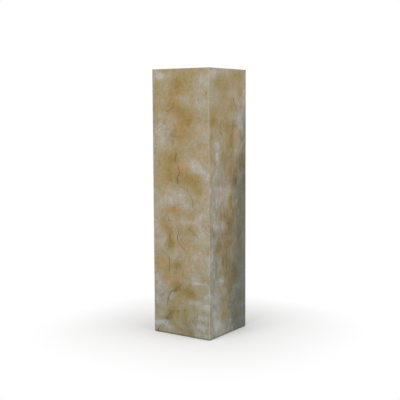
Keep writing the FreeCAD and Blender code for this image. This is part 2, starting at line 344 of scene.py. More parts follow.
RIGHT_PATCHES = {
"Rust": (
    (76, 930, 42, 28, 0.8, -10), (112, 890, 48, 14, 0.6), (132, 960, 56, 22, 0.5), (190, 974, 32, 22, 0.8),
    (214, 910, 14, 42, 0.8), (150, 930, 38, 18, 0.4), (80, 850, 66, 20, 0.8), (150, 855, 22, 18, 0.5),
    (15, 813, 28, 15, 0.9), (40, 792, 28, 18, 0.5), (84, 802, 56, 26, 0.5), (130, 790, 40, 20, 0.7),
    (165, 786, 18, 16, 0.6), (110, 760, 46, 24, 0.5), (141, 740, 24, 32, 1.1), (130, 710, 42, 22, 0.6),
    (20, 702, 22, 38, 0.5), (30, 746, 38, 14, 0.4), (186, 745, 32, 18, 0.4), (100, 682, 34, 28, 0.5),
    (150, 660, 54, 24, 0.6), (150, 622, 36, 22, 0.9), (166, 600, 28, 18, 0.7), (180, 576, 16, 18, 1.0),
    (206, 662, 36, 36, 0.4), (146, 520, 12, 28, 0.8), (138, 497, 14, 18, 1.0), (90, 456, 18, 18, 0.8),
    (130, 456, 46, 20, 0.7), (182, 470, 28, 18, 0.5), (135, 426, 28, 14, 1.1), (140, 404, 18, 24, 0.9),
    (116, 384, 46, 26, 0.6), (205, 436, 22, 14, 0.5), (126, 345, 28, 14, 1.1), (60, 340, 20, 18, 0.8),
    (76, 325, 32, 18, 0.5), (200, 360, 22, 32, 0.5), (108, 300, 28, 24, 0.7), (99, 280, 20, 22, 0.8),
    (73, 238, 12, 13, 1.0), (150, 226, 38, 18, 1.1), (166, 216, 22, 18, 0.7), (146, 256, 56, 14, 0.5),
    (170, 286, 28, 46, 0.5), (146, 190, 28, 22, 0.8), (82, 186, 46, 12, 0.6), (140, 165, 28, 14, 0.6),
    (96, 140, 24, 12, 0.7), (130, 120, 46, 18, 0.4), (102, 76, 40, 24, 0.8), (216, 486, 15, 28, 0.7),
    (200, 384, 15, 28, 0.9), (222, 304, 13, 30, 0.7), (204, 206, 14, 22, 0.8), (214, 132, 17, 20, 0.7),
    (186, 62, 22, 14, 0.6), (238, 402, 10, 34, 0.5), (240, 560, 12, 30, 0.7), (228, 650, 14, 24, 0.7),
    (138, 424, 15, 12, 1.0), (138, 402, 12, 16, 0.9), (125, 347, 16, 11, 1.0), (140, 500, 10, 22, 0.9),
    (152, 218, 18, 14, 1.1), (66, 336, 16, 20, 0.5), (100, 290, 12, 20, 0.7), (74, 238, 9, 13, 0.8),
    (142, 170, 14, 16, 0.6),
),
"Blush": (
    (110, 946, 14, 10, 0.6), (162, 900, 26, 12, 0.6), (15, 815, 15, 8, 0.7), (146, 736, 9, 22, 0.5),
    (152, 222, 24, 15, 0.7), (176, 470, 26, 16, 0.5), (125, 436, 24, 40, 0.4), (190, 756, 20, 16, 0.4),
    (166, 336, 14, 14, 0.6),
),
"Veil": (
    (50, 986, 56, 14, 0.9, 10), (15, 950, 24, 38, 0.6), (34, 890, 26, 28, 0.6), (150, 905, 24, 12, 0.5),
    (230, 846, 36, 42, 0.9), (226, 800, 32, 28, 0.8), (242, 940, 18, 56, 0.7), (45, 720, 16, 14, 1.5),
    (55, 692, 15, 22, 1.1), (60, 660, 28, 22, 0.7), (66, 618, 36, 14, 0.9), (84, 594, 40, 11, 0.7),
    (60, 556, 46, 11, 0.8), (55, 512, 22, 22, 1.2), (100, 562, 36, 18, 0.6), (170, 545, 38, 9, 0.8, -15),
    (172, 500, 15, 15, 0.8), (20, 470, 28, 56, 0.6), (80, 414, 26, 18, 1.0), (25, 392, 32, 28, 0.5),
    (25, 340, 24, 38, 0.7), (15, 262, 32, 56, 0.6), (76, 212, 34, 7, 0.9, -12), (96, 222, 16, 5, 0.5, -12),
    (25, 200, 36, 56, 0.6), (214, 596, 13, 15, 0.8), (26, 120, 46, 56, 0.7), (24, 36, 44, 26, 0.9),
    (62, 52, 30, 12, 0.6, -15), (50, 92, 22, 8, 0.5, -15), (90, 20, 36, 18, 0.9), (136, 56, 28, 13, 0.9),
    (170, 165, 14, 15, 0.8), (190, 105, 15, 13, 0.6), (230, 255, 34, 7, 0.9, 10), (228, 436, 20, 7, 1.0, 8),
    (212, 350, 20, 6, 1.0, -8), (206, 176, 24, 6, 1.0), (228, 92, 24, 7, 1.1, 6), (214, 38, 28, 8, 1.0),
    (236, 520, 20, 10, 0.8, 20), (240, 606, 12, 14, 0.8),
),
# Much of the slate here is painted shade: the right face darkens towards its far edge and its foot.
"Slate": (
    (275, 330, 95, 420, 0.62), (228, 150, 70, 180, 0.6), (206, 330, 60, 200, 0.35),
    (250, 610, 48, 140, 0.38), (202, 40, 66, 56, 0.55), (245, 700, 34, 70, 0.3), (216, 540, 50, 50, 0.35),
    (160, 100, 56, 60, 0.25), (150, 330, 230, 340, 0.42), (40, 340, 70, 260, 0.4), (232, 830, 40, 60, 0.55),
    (180, 420, 40, 60, 0.2), (150, 650, 52, 80, 0.35),
),
"Umber": (
    (180, 582, 8, 11, 0.9), (168, 240, 10, 6, 0.3), (166, 212, 9, 8, 0.2), (138, 345, 18, 10, 0.2),
    (135, 426, 18, 7, 0.2), (90, 140, 13, 9, 0.4), (136, 98, 15, 9, 0.5), (130, 18, 22, 14, 0.4),
    (165, 790, 13, 9, 0.4), (180, 640, 28, 18, 0.2), (202, 440, 9, 8, 0.5), (82, 762, 12, 5, 0.5),
),
}

# Each fissure runs mostly "up" or "across", and is a list of (across, up) points with a strength.

FRONT_FISSURES = (
    ("up", 0.8, ((110, 692), (105, 676), (93, 660))),
    ("up", 1.0, ((116, 644), (118, 633), (124, 622), (121, 612), (111, 601), (113, 588), (115, 574))),
    ("up", 0.5, ((117, 573), (128, 566), (151, 556), (170, 541), (178, 521), (181, 495), (201, 476))),
    ("up", 0.8, ((66, 453), (72, 436), (98, 429), (112, 413), (116, 400), (112, 380), (112, 359),
                 (127, 343), (141, 331), (160, 312))),
    ("up", 0.4, ((73, 434), (84, 418), (86, 400), (75, 376), (70, 358))),
    ("up", 0.5, ((66, 366), (57, 350), (54, 337), (36, 324))),
    ("up", 0.6, ((37, 325), (48, 312), (58, 300), (72, 294), (75, 276), (70, 252), (66, 238))),
    ("up", 0.9, ((124, 200), (114, 184), (84, 169), (73, 150), (62, 125), (62, 104))),
    ("up", 0.7, ((86, 92), (80, 83), (58, 59))),
    ("up", 0.6, ((202, 96), (198, 81), (179, 67), (169, 39))),
    ("up", 0.7, ((36, 35), (19, 14), (15, 2))),
    ("across", 0.6, ((62, 842), (76, 850), (105, 860))),
    ("across", 0.4, ((20, 776), (36, 786), (52, 800), (74, 786))),
)

RIGHT_FISSURES = (
    ("up", 0.8, ((160, 900), (170, 879), (181, 859), (194, 843))),
    ("up", 0.6, ((176, 802), (203, 775), (220, 755), (228, 720))),
    ("up", 0.6, ((132, 826), (90, 809), (74, 795), (80, 758), (98, 742))),
    ("across", 0.5, ((104, 430), (120, 424), (138, 424))),
    ("across", 0.5, ((100, 142), (136, 120), (168, 112))),
)

# ---------------------------------------------------------------- node groups that are shared

PATCH_END = 2.0                            # where a patch has faded out, in half sizes


def patch_group():
    """Adds one soft-edged oval patch to the sum of the patches before it."""
    inputs = {"Place": (0, 0, 0), "Middle": (0, 0, 0), "Turn": 0.0, "Size": (1, 1, 1)}
    inputs |= {"Strength": 1.0, "Sum": 0.0}
    group, given = new_group("Soft patch", inputs, {"Sum": "Float"}, "GeometryNodeTree")
    inputs = {"Vector": given["Place"], "Center": given["Middle"], "Angle": -given["Turn"]}
    level = field(group, "ShaderNodeVectorRotate", inputs, rotation_type="Z_AXIS")
    inside = (level - given["Middle"]) / given["Size"]
    mask = ramp(inside.length(), PATCH_END, 0.0)
    return give(group, Sum=mask.times(given["Strength"], plus=given["Sum"]))


def grain_group():
    """Sugary crystal grain, with pale specks, for any stone."""
    outputs = {"Grain": "Float", "Speck": "Float", "Height": "Float"}
    group, given = new_group("Crystal grain", {"Place": (0, 0, 0), "Grain size": 0.004}, outputs)
    place = given["Place"] / given["Grain size"]
    coarse = noise(place, 2.2, 4.0, 0.65)
    fine = noise(place, 0.8, 3.0, 0.6)
    cells = field(group, "ShaderNodeTexVoronoi", {"Vector": place, "Scale": 0.7}, "Distance")
    grain = coarse * 0.6 + fine * 0.4
    return give(group, Grain=grain, Speck=ramp(fine, 0.60, 0.78), Height=cells.times(-0.5, plus=grain))


PATCH = patch_group()
GRAIN = grain_group()
CLOUD_SIZE, CRUMB_SIZE, HUE_SIZE = 0.055, 0.014, 0.036   # largest blotches of the stone's mottling
CLOUDS, CRUMBS = 1.15, 0.75                # how far the first two shift its colour
CRYSTAL = 0.0035                           # its grain
MARKED = 0.6                               # how far the mottling breaks up a mark's edge
MOST_MARKS = 1.4                           # patches that lie over each other count up to this
HAIRS = 11.0                               # cells to the metre, along whose edges hairlines run
HAIR_WIDTH = 0.014                         # of a cell


def stone_group():
    """The colour, roughness and height of honed, mottled stone, from the fields that steer it."""
    steering = ("Rust", "Blush", "Veil", "Slate", "Umber", "Fissure", "Edge", "Low", "Soil")
    group, given = new_group(
        "Mottled stone", {"Place": (0, 0, 0), "Streak": 1.0} | dict.fromkeys(steering, 0.0),
        {"Colour": "Color", "Roughness": "Float", "Height": "Float"},
    )
    place = given["Place"]
    stretched = place * joined(1.0, given["Streak"], 1.0)
    cloud = noise(stretched, CLOUD_SIZE, 8.0, 0.66, distortion=0.6)
    crumb = noise(stretched, CRUMB_SIZE, 5.0, 0.65)
    jitter = (cloud - 0.5) * CLOUDS + (crumb - 0.5) * CRUMBS
    hue = field(group, "ShaderNodeSeparateColor", {0: noise(place, HUE_SIZE, 5.0, 0.62, output=1)})
    grains = use(GRAIN, Place=place, Grain_size=CRYSTAL)

    def shared(name, share):
        return given[name].at_most(MOST_MARKS) * share

    def broken(name, high, share=MARKED):
        """A field whose edge is broken up by the noise."""
        return ramp(jitter.times(share, plus=given[name]), 0.0, high)

    warmth = shared("Rust", 0.46) - shared("Veil", 0.28) + 0.44
    colour = shades(warmth + jitter, (
        (0.00, (189, 183, 178)), (0.22, (176, 167, 152)), (0.45, (167, 154, 126)),
        (0.70, (163, 144, 102)), (0.88, (158, 136, 85)), (1.00, (151, 126, 68)),
    ))
    tint = shades(hue, ((0.36, (255, 246, 238)), (0.64, (244, 247, 237))))
    # Slate: grey green stone, and painted shade where a face is darker because the light falls off.
    slate_and_shade = broken("Slate", 1.6, 1.3)
    for share, stain in (
        (1.0, tint), (broken("Blush", 1.1), (1.12, 0.98, 0.88, 1)),
        (broken("Umber", 1.0), (0.62, 0.54, 0.40, 1)), (slate_and_shade, (0.34, 0.40, 0.43, 1)),
        (given["Low"], (0.88, 0.97, 1.06, 1)),
    ):
        colour = mix(share, colour, stain, "MULTIPLY")

    chalky = slate_and_shade.times(0.28, plus=ramp(warmth, 0.45, 0.0))
    wisp = ramp(noise(place * (1.0, 6.0, 1.0), 0.040, 4.0, 0.6), 0.60, 0.74)
    wisp = wisp * chalky.times(0.45, plus=0.02)
    speck = grains["Speck"] * chalky.times(0.7, plus=0.12)
    colour = mix(speck.at_least(wisp), colour, tone(208, 207, 200))
    grey = ramp(grains["Grain"], 0.3, 0.7, 0.78, 1.22, "LINEAR")
    colour = mix(1.0, colour, grey, "MULTIPLY")

    astray = place + wander(place, 0.030, 4.0, 0.6) * 0.05
    cells = {"Vector": astray, "Scale": HAIRS}
    hair = field(group, "ShaderNodeTexVoronoi", cells, "Distance", feature="DISTANCE_TO_EDGE")
    hair = ramp(hair, HAIR_WIDTH, 0.0) * ramp(noise(place, 0.060, 2.0), 0.48, 0.62)
    cracks = given["Fissure"].at_least(hair * 0.55)
    colour = mix(cracks * 0.85, colour, tone(66, 52, 30))
    # The upright corners are honed paler, and also carry a painted highlight where the light catches them.
    colour = mix(given["Edge"] * 0.8, colour, tone(210, 200, 168))
    # Darker at the foot: soil, and painted shade where the column meets the floor.
    soil_and_shade = given["Soil"] * ramp(grains["Grain"], 0.3, 0.7, 0.25, 0.75)
    colour = mix(soil_and_shade, colour, tone(92, 86, 70))

    rough = cracks.times(0.3, plus=grains["Grain"].times(0.16, plus=0.40)).clamped()
    height = cloud.times(0.8, plus=grains["Height"] * 0.25) - cracks
    return give(group, Colour=colour, Roughness=rough, Height=height)


MOTTLED = stone_group()


# ---------------------------------------------------------------- fissures, as curves

FISSURE_LINE = 2.1 * MM                    # half the width of a fissure's dark line
FISSURE_CLEFT = 3.4 * MM                   # and of the cleft that it lies in
FISSURE_CORE = 0.15                        # the share of that half width that is at full strength
FISSURE_DARK = 1.35                        # raises the dark line, before gaps are let into it
FISSURE_TAPER = 0.12                       # the share of its run over which each end fades


def fissure_mask(across, up, fissures, half_width):
    """The largest of the fissures' masks: each is near to a curve that runs up or across the sheet."""
    total = 0.0
    for runs, strength, points in fissures:
        along, aside, reach = (up, across, WIDTH) if runs == "up" else (across, up, HEIGHT)
        marks = sorted((v * MM, u * MM) if runs == "up" else (u * MM, v * MM) for u, v in points)
        low, high = marks[0][0], marks[-1][0]
        curve = add(along.tree, "ShaderNodeFloatCurve", {"Value": ramp(along, low, high, kind="LINEAR")})
        line = curve.mapping.curves[0]
        while len(line.points) < len(marks):
            line.points.new(0.5, 0.5)
        for handle, (s, t) in zip(line.points, marks):
            handle.location = ((s - low) / (high - low), t / reach)
            handle.handle_type = "VECTOR"
        curve.mapping.update()
        apart = abs(aside - Field(curve.outputs[0]) * reach)
        taper = FISSURE_TAPER * (high - low)
        ends = ramp(along, low - MM, low + taper) * ramp(along, high + MM, high - taper)
        near = ramp(apart, half_width, FISSURE_CORE * half_width) * ends
        total = (near * strength).at_least(total)
    return total


# ---------------------------------------------------------------- the stone sheets

# How each sheet lies: the directions that are across and up on it, the place of its lower left
# corner along them, its marks, the seed of its mottling, how far its blotches are drawn out and how
# much of the slate and painted shade it has.
# The back and left sheets come from the same block as the front and right ones, turned end for end.

TOP_FROM = 0.4                             # how far up the front's marks the top's begin
FRONT = dict(patches=FRONT_PATCHES, fissures=FRONT_FISSURES, streak=0.8)
RIGHT = dict(patches=RIGHT_PATCHES, fissures=RIGHT_FISSURES, streak=0.45)
SHEETS = {
    "front": FRONT | dict(across=X, up=Z, corner=(HALF, 0), seed=1.0, slate_and_shade=1.0),
    "right": RIGHT | dict(across=Y, up=Z, corner=(HALF, 0), seed=2.0, slate_and_shade=1.0),
    "back": FRONT | dict(across=X, up=-Z, corner=(HALF, HEIGHT), seed=3.0, slate_and_shade=0.8),
    "left": RIGHT | dict(across=Y, up=-Z, corner=(HALF, HEIGHT), seed=4.0, slate_and_shade=0.45),
    "top": FRONT | dict(across=X, up=Y, corner=(HALF, HALF + TOP_FROM), seed=5.0, slate_and_shade=1.0, streak=0.9),
}
MARKS = {"warm_marks": ("Rust", "Blush", "Umber"), "cool_marks": ("Veil", "Slate")}
WARP = 0.024                               # how far the patches' edges wander
RAGGED = 0.013                             # and the fissures
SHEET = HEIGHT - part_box("top_stone")[0].z  # thickness of the sheets
LOW_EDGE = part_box("front_stone")[0].z      # floor to the sheets' lower edge
GREY_BELOW = (0.45, 0.05)                  # heights from which and to which the stone turns greyer
SOIL_AND_CONTACT_SHADE = (LOW_EDGE + 7 * MM, LOW_EDGE + MM)   # and from which and to which it is darkened: soiled, and painted contact shade at the foot
EASE = 1.5 * MM                            # rounding of the upright corners
TOP_EASE = 0.6 * MM                        # rounding round the top
FLAT = HALF - EASE                         # the column's middle to the end of a sheet's flat face
ARRIS_MIDDLE = HALF + FLAT + 0.3 * MM      # |x| + |y|, from which the upright corners are worn pale and carry a painted highlight
PITCH = 2.5 * MM                           # the squares of a sheet's face
EDGE_STRIP = 0.2 * MM                      # the narrow strip at the ends of the squares
SKIN_FADE = 5 * MM                         # the relief fades out over this distance from an edge
EASE_STEPS = 3
QUARTER = math.pi / 4                      # a quarter of half a turn: to the middle of a corner
REAL_EDGE = math.radians(30)               # an edge that turns further than this is left sharp


def sheet_place(place, sheet):
    """The place on a sheet: across, up, and a seed in the third direction."""
    across, up = sheet["corner"]
    return joined(place.dot(sheet["across"]) + across, place.dot(sheet["up"]) + up, sheet["seed"])


def fissure_field(flat, sheet, half_width):
    """The fissures' mask at a place on a sheet, with their lines made ragged."""
    across, up, _ = split(flat + wander(flat, 0.014, 4.0, 0.65) * RAGGED)
    return fissure_mask(across, up, sheet["fissures"], half_width)


def stone_material(side):
    sheet = SHEETS[side]
    material, place = new_material(side + "_stone_facing")
    flat = sheet_place(place, sheet)
    fields = {}
    for attribute, names in MARKS.items():
        stored = field(place.tree, "ShaderNodeAttribute", output="Vector", attribute_name=attribute)
        fields.update(zip(names, split(stored)))
    gaps = ramp(noise(flat, 0.02), 0.3, 0.6, 0.5, 1.0)
    fields["Fissure"] = (fissure_field(flat, sheet, FISSURE_LINE) * FISSURE_DARK * gaps).clamped()
    x, y, z = split(abs(place))
    # The pale corners: wear, and a painted highlight.
    fields["Edge"] = ramp(x + y, ARRIS_MIDDLE, ARRIS_MIDDLE + 0.2 * MM)
    fields["Low"] = ramp(z, *GREY_BELOW)
    # The foot's dark band: soiling, and painted contact shade.
    fields["Soil"] = ramp(z, *SOIL_AND_CONTACT_SHADE)
    finish = use(MOTTLED, Place=flat, Streak=sheet["streak"], **fields)
    return painted(material, finish["Colour"], finish["Roughness"], finish["Height"], 0.4 * MM)


# ---------------------------------------------------------------- the stone sheets' meshes

def new_piece(name, mesh):
    piece = bpy.data.objects.new(name, mesh)
    bpy.context.scene.collection.objects.link(piece)
    return piece


def cuts():
    """Where a sheet's flat middle is cut across: evenly, with a narrow strip at each end."""
    inner = FLAT - EDGE_STRIP
    count = round(2 * inner / PITCH)
    return [-FLAT] + [-inner + 2 * inner * n / count for n in range(count + 1)] + [FLAT]


def eased(steps, reach):
    """The angles of a rounded edge, from just off the flat face to reach."""
    return [reach * (n + 1) / steps for n in range(steps)]


def squares(across, up):
    """The faces of a grid of points that are numbered from left to right and row by row."""
    corners = [j * across + i for j in range(up - 1) for i in range(across - 1)]
    return [(n, n + 1, n + across + 1, n + across) for n in corners]


def closed_mesh(name, points, faces, attribute, values):
    """A closed mesh with its faces outwards, smooth but for its real edges, and one attribute."""
    work = bmesh.new()
    corners = [work.verts.new(p) for p in points]
    for face in faces:
        face = list(dict.fromkeys(face))
        if len(face) > 2:
            work.faces.new([corners[n] for n in face])
    bmesh.ops.recalc_face_normals(work, faces=work.faces)
    mesh = bpy.data.meshes.new(name)
    work.to_mesh(mesh)
    work.free()
    mesh.attributes.new(attribute, "FLOAT", "POINT").data.foreach_set("value", values)
    mesh.shade_smooth()
    mesh.set_sharp_from_angle(angle=REAL_EDGE)
    return mesh


def skin(*margins):
    """1 on a sheet's open face, falling to 0 at its edges, from the distances to them."""
    share = min(1.0, max(0.0, min(margins)) / SKIN_FADE)
    return share * share * (3 - 2 * share)


def side_sheet_mesh(name):
    """An upright sheet as it lies at the front: its face in fine squares, rounded edges, mitred sides."""
    columns = [(-FLAT, -a) for a in reversed(eased(EASE_STEPS, QUARTER))]
    columns += [(x, 0.0) for x in cuts()]
    columns += [(FLAT, a) for a in eased(EASE_STEPS, QUARTER)]
    top = HEIGHT - TOP_EASE
    count = round((top - LOW_EDGE) / PITCH)
    rows = [(LOW_EDGE + (top - LOW_EDGE) * n / count, 0.0) for n in range(count + 1)]
    rows += [(top, a) for a in eased(EASE_STEPS, QUARTER)]

    points, skins = [], []
    for z, b in rows:
        radius = EASE - TOP_EASE * (1 - math.cos(b))
        height = z + TOP_EASE * math.sin(b)
        for x, a in columns:
            points.append((x + radius * math.sin(a), -FLAT - radius * math.cos(a), height))
            skins.append(skin(FLAT - abs(x), z - LOW_EDGE, top - z))
    across, up = len(columns), len(rows)
    inner = HALF - SHEET
    for n in range(up):
        z = LOW_EDGE + (HEIGHT - SHEET - LOW_EDGE) * n / (up - 1)
        points += [(-inner, -inner, z), (inner, -inner, z)]
        skins += [0.0, 0.0]

    def outer(i, j):
        return j * across + i

    def back(i, j):
        return up * across + 2 * j + i

    faces = squares(across, up)
    for j in range(up - 1):
        faces.append((outer(0, j + 1), outer(0, j), back(0, j), back(0, j + 1)))
        faces.append((outer(across - 1, j), outer(across - 1, j + 1), back(1, j + 1), back(1, j)))
        faces.append((back(0, j), back(1, j), back(1, j + 1), back(0, j + 1)))
    middle = across // 2
    for j in (0, up - 1):
        faces += [(back(0, j), outer(i, j), outer(i + 1, j)) for i in range(middle)]
        faces.append((back(0, j), outer(middle, j), back(1, j)))
        faces += [(back(1, j), outer(i, j), outer(i + 1, j)) for i in range(middle, across - 1)]
    return closed_mesh(name, points, faces, "skin", skins)


def top_sheet_mesh(name):
    """The top sheet: fine squares, a rounded rim with four small corners, and a mitred underside."""
    marks = cuts()
    last = len(marks) - 1
    points = [(x, y, HEIGHT) for y in marks for x in marks]
    skins = [skin(FLAT - abs(x), FLAT - abs(y)) for y in marks for x in marks]
    faces = squares(last + 1, last + 1)
    rim = []
    for side, (di, dj) in enumerate(((1, 0), (0, 1), (-1, 0), (0, -1))):
        start = ((0, 0), (last, 0), (last, last), (0, last))[side]
        angle = math.pi / 2 * (side - 1)
        rim += [((start[0] + di * k, start[1] + dj * k), angle) for k in range(last)]
        corner = (start[0] + di * last, start[1] + dj * last)
        rim += [(corner, angle + turn) for turn in [0.0] + eased(2 * EASE_STEPS, 2 * QUARTER)[:-1]]

    ring = [j * (last + 1) + i for (i, j), _ in rim]
    base = list(ring)
    for b in [0.0] + eased(EASE_STEPS, QUARTER):
        radius = EASE - TOP_EASE * (1 - math.sin(b))
        z = HEIGHT - TOP_EASE * (1 - math.cos(b))
        fresh = list(range(len(points), len(points) + len(rim)))
        for (i, j), angle in rim:
            points.append((marks[i] + radius * math.cos(angle), marks[j] + radius * math.sin(angle), z))
        faces += [(ring[n - 1], ring[n], fresh[n], fresh[n - 1]) for n in range(len(rim))]
        ring = fresh
    inner = (HALF - SHEET) / FLAT
    under = {n: len(points) + k for k, n in enumerate(dict.fromkeys(base))}
    points += [(points[n][0] * inner, points[n][1] * inner, HEIGHT - SHEET) for n in under]
    lower = [under[n] for n in base]
    faces += [(ring[n - 1], ring[n], lower[n], lower[n - 1]) for n in range(len(rim))]
    centre = len(points)
    points.append((0, 0, HEIGHT - SHEET))
    faces += [(lower[n - 1], lower[n], centre) for n in range(len(rim)) if lower[n - 1] != lower[n]]
    skins += [0.0] * (len(points) - len(skins))
    return closed_mesh(name, points, faces, "skin", skins)


# ---------------------------------------------------------------- rules that shape a mesh

def pushed(shape, offset):
    return field(shape.tree, "GeometryNodeSetPosition", {"Geometry": shape, "Offset": offset})


def closed_tree(tree, shape, finish):
    """Ends a Geometry Nodes tree with real geometry that has its material."""
    shape = field(tree, "GeometryNodeRealizeInstances", {0: shape})
    shape = field(tree, "GeometryNodeSetMaterial", {"Geometry": shape, "Material": finish})
    return give(tree, Geometry=shape)


def patched(total, place, share, across, up, half_width, half_height, strength, turn=0):
    """The patches' sum with one more of them, at share of its strength."""
    return use(
        PATCH, Place=place, Middle=(across * MM, up * MM, 0), Turn=math.radians(turn),
        Size=(half_width * MM, half_height * MM, 1), Strength=strength * share, Sum=total,
    )["Sum"]


def relief_tree(side):
    """The rule of a sheet's face: where its marks lie, and how its surface rises and falls."""
    sheet = SHEETS[side]
    inputs = {
        "Geometry": "Geometry", "Outwards": (0, 0, 0), "Swell": 0.0, "Pitting": 0.0, "Fissure depth": 0.0,
        "Edge wear": 0.0, "Finish": "Material",
    }
    tree, given = new_group(side + "_stone_relief", inputs, {"Geometry": "Geometry"}, "GeometryNodeTree")
    place = field(tree, "GeometryNodeInputPosition")
    flat = sheet_place(place, sheet)
    warped = (flat + wander(flat, 0.050, 4.0, 0.6) * WARP) * (1, 1, 0)

    shape = given["Geometry"]
    for attribute, names in MARKS.items():
        totals = dict.fromkeys(names, 0.0)
        for name in names:
            # The slate is partly painted shade of the right face, so the back and left sheets take less of
            # it.
            share = sheet["slate_and_shade"] if name == "Slate" else 1.0
            for marks in sheet["patches"][name]:
                totals[name] = patched(totals[name], warped, share, *marks)
        inputs = {"Geometry": shape, "Name": attribute, "Value": joined(*totals.values())}
        shape = field(tree, "GeometryNodeStoreNamedAttribute", inputs, data_type="FLOAT_VECTOR")

    swell = noise(flat, 0.045, 4.0, 0.5) * given["Swell"]
    pits = ramp(noise(flat, 0.008, 2.0), 0.60, 0.78) * given["Pitting"]
    cleft = fissure_field(flat, sheet, FISSURE_CLEFT) * given["Fissure depth"]
    fade = field(tree, "GeometryNodeInputNamedAttribute", {"Name": "skin"}, data_type="FLOAT")
    depth = (swell + (pits + cleft)) * fade
    shape = pushed(shape, given["Outwards"] * -depth)

    spread = place * (1, 1, 0)
    x, y, _ = split(abs(spread))
    on_arris = ramp(x + y, ARRIS_MIDDLE, ARRIS_MIDDLE + 0.4 * MM)
    wear = ramp(noise(place, 0.022, 5.0, 0.6), 0.45, 0.75) * given["Edge wear"]
    shape = pushed(shape, spread.unit() * -(wear * on_arris))
    return closed_tree(tree, shape, given["Finish"])


def shaped(piece, tree, **values):
    """Runs a Geometry Nodes tree on a piece and leaves the result as its plain mesh."""
    modifier = piece.modifiers.new("shape", "NODES")
    modifier.node_group = tree
    for socket in tree.interface.items_tree:
        key = socket.name.replace(" ", "_")
        if socket.in_out == "INPUT" and key in values:
            modifier[socket.identifier] = values[key]
    graph = bpy.context.evaluated_depsgraph_get()
    result = piece.evaluated_get(graph)
    mesh = bpy.data.meshes.new_from_object(result, preserve_all_data_layers=True, depsgraph=graph)
    piece.modifiers.remove(modifier)
    mesh.name = piece.name
    piece.data = mesh


def stone_sheet(side):
    """One sheet of the facing, which stands for the plain sheet of the same name."""
    name = side + "_stone_sheet"
    if side == "top":
        mesh, outwards = top_sheet_mesh(name), Z
    else:
        turn = Matrix.Rotation(math.pi / 2 * SIDES.index(side), 4, "Z")
        mesh, outwards = side_sheet_mesh(name), turn @ -Y
        mesh.transform(turn)
    sheet = new_piece(name, mesh)
    shaped(
        sheet, relief_tree(side), Outwards=outwards, Swell=0.30 * MM, Pitting=0.20 * MM,
        Fissure_depth=0.55 * MM, Edge_wear=0.35 * MM, Finish=stone_material(side),
    )
    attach(sheet, "column")
    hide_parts(side + "_stone")


# ---------------------------------------------------------------- finishes of what is inside and below

def timber_group():
    """Growth rings and pores of wood whose grain runs along the third axis of Place."""
    group, given = new_group(
        "Timber grain", {"Place": (0, 0, 0), "Ring": 0.004, "Pith": (0.03, 0.05, 0)},
        {"Late wood": "Float", "Pores": "Float", "Height": "Float"},
    )
    place = given["Place"]
    long = place * (1, 1, 0.10)
    across = (long + wander(long, 0.030, 3.0, 0.5) * 0.012 + given["Pith"]) * (1, 1, 0)
    age = (across.length() / given["Ring"]).fraction()
    late = ramp(age, 0.35, 0.92) * ramp(age, 1.0, 0.94)
    pores = ramp(noise(place * (1, 1, 0.04), 0.0016, 3.0, 0.6), 0.56, 0.72)
    return give(group, Late_wood=late, Pores=pores, Height=pores.times(-0.5, plus=late * 0.4))


def dust_group():
    """Dust that lies in uneven veils, with finer spots."""
    group, given = new_group("Dust", {"Place": (0, 0, 0), "Amount": 0.5}, {"Dust": "Float"})
    veil = ramp(noise(given["Place"], 0.025, 5.0, 0.6), 0.35, 0.75)
    spots = ramp(noise(given["Place"], 0.0022, 3.0, 0.7), 0.58, 0.72)
    return give(group, Dust=(spots.times(0.5, plus=veil) * given["Amount"]).clamped())


TIMBER = timber_group()
DUST = dust_group()


def dusty(place, colour, amount):
    """A colour with dust over it."""
    return mix(use(DUST, Place=place, Amount=amount)["Dust"], colour, tone(176, 170, 160))


def turned_to(place, grain):
    """The place with the grain's direction brought to the third axis."""
    if abs(grain.z) > 0.5:
        return place
    other = X if abs(grain.y) > 0.5 else Y
    return joined(place.dot(other), place.dot(Z), place.dot(grain))


def fibreboard():
    """Pressed fibres: smooth sanded faces, brown and flecked."""
    material, place = new_material("fibreboard")
    flecks = noise(place * (1, 1, 0.35), 0.0028, 4.0, 0.7)
    colour = shades(flecks, ((0.30, (138, 108, 76)), (0.52, (166, 136, 102)), (0.72, (188, 160, 124))))
    tint = shades(noise(place, 0.060, 3.0, 0.5), ((0.35, (240, 236, 230)), (0.65, (255, 252, 246))))
    colour = dusty(place, mix(1.0, colour, tint, "MULTIPLY"), 0.25)
    return painted(material, colour, flecks.times(0.2, plus=0.62), flecks, 0.15 * MM)


def plywood(name, layers, origin, ply, grain):
    """Birch plywood: face veneer along the grain, and thin crossed plies to be seen at its edges."""
    material, place = new_material(name)
    wood = use(TIMBER, Place=turned_to(place, grain), Ring=0.011, Pith=(0.11, 0.02, 0))
    face = mix(wood["Late wood"] * 0.45, tone(216, 190, 150), tone(196, 160, 114))
    face = mix(wood["Pores"] * 0.35, face, tone(168, 130, 88))
    depth = (place.dot(layers) - origin) / ply
    pair = (depth * 0.5).fraction()
    crossed = pair.maths("GREATER_THAN", pair, 0.5)
    fibres = noise(place, 0.0012, 3.0, 0.7)
    edge = mix(crossed, tone(208, 176, 130), tone(172, 132, 88))
    edge = mix(ramp(fibres, 0.5, 0.7, 0.0, 0.5), edge, tone(132, 96, 60))
    glue = ramp(abs(depth.fraction() - 0.5), 0.42, 0.48)
    edge = mix(glue * 0.6, edge, tone(96, 66, 42))
    normal = field(place.tree, "ShaderNodeNewGeometry", output="Normal")
    on_face = ramp(abs(normal.dot(layers)), 0.6, 0.8)
    colour = dusty(place, mix(on_face, edge, face), 0.2)
    height = mix(on_face, fibres, wood["Height"])
    return painted(material, colour, fibres.times(0.2, plus=0.5), height, 0.15 * MM)


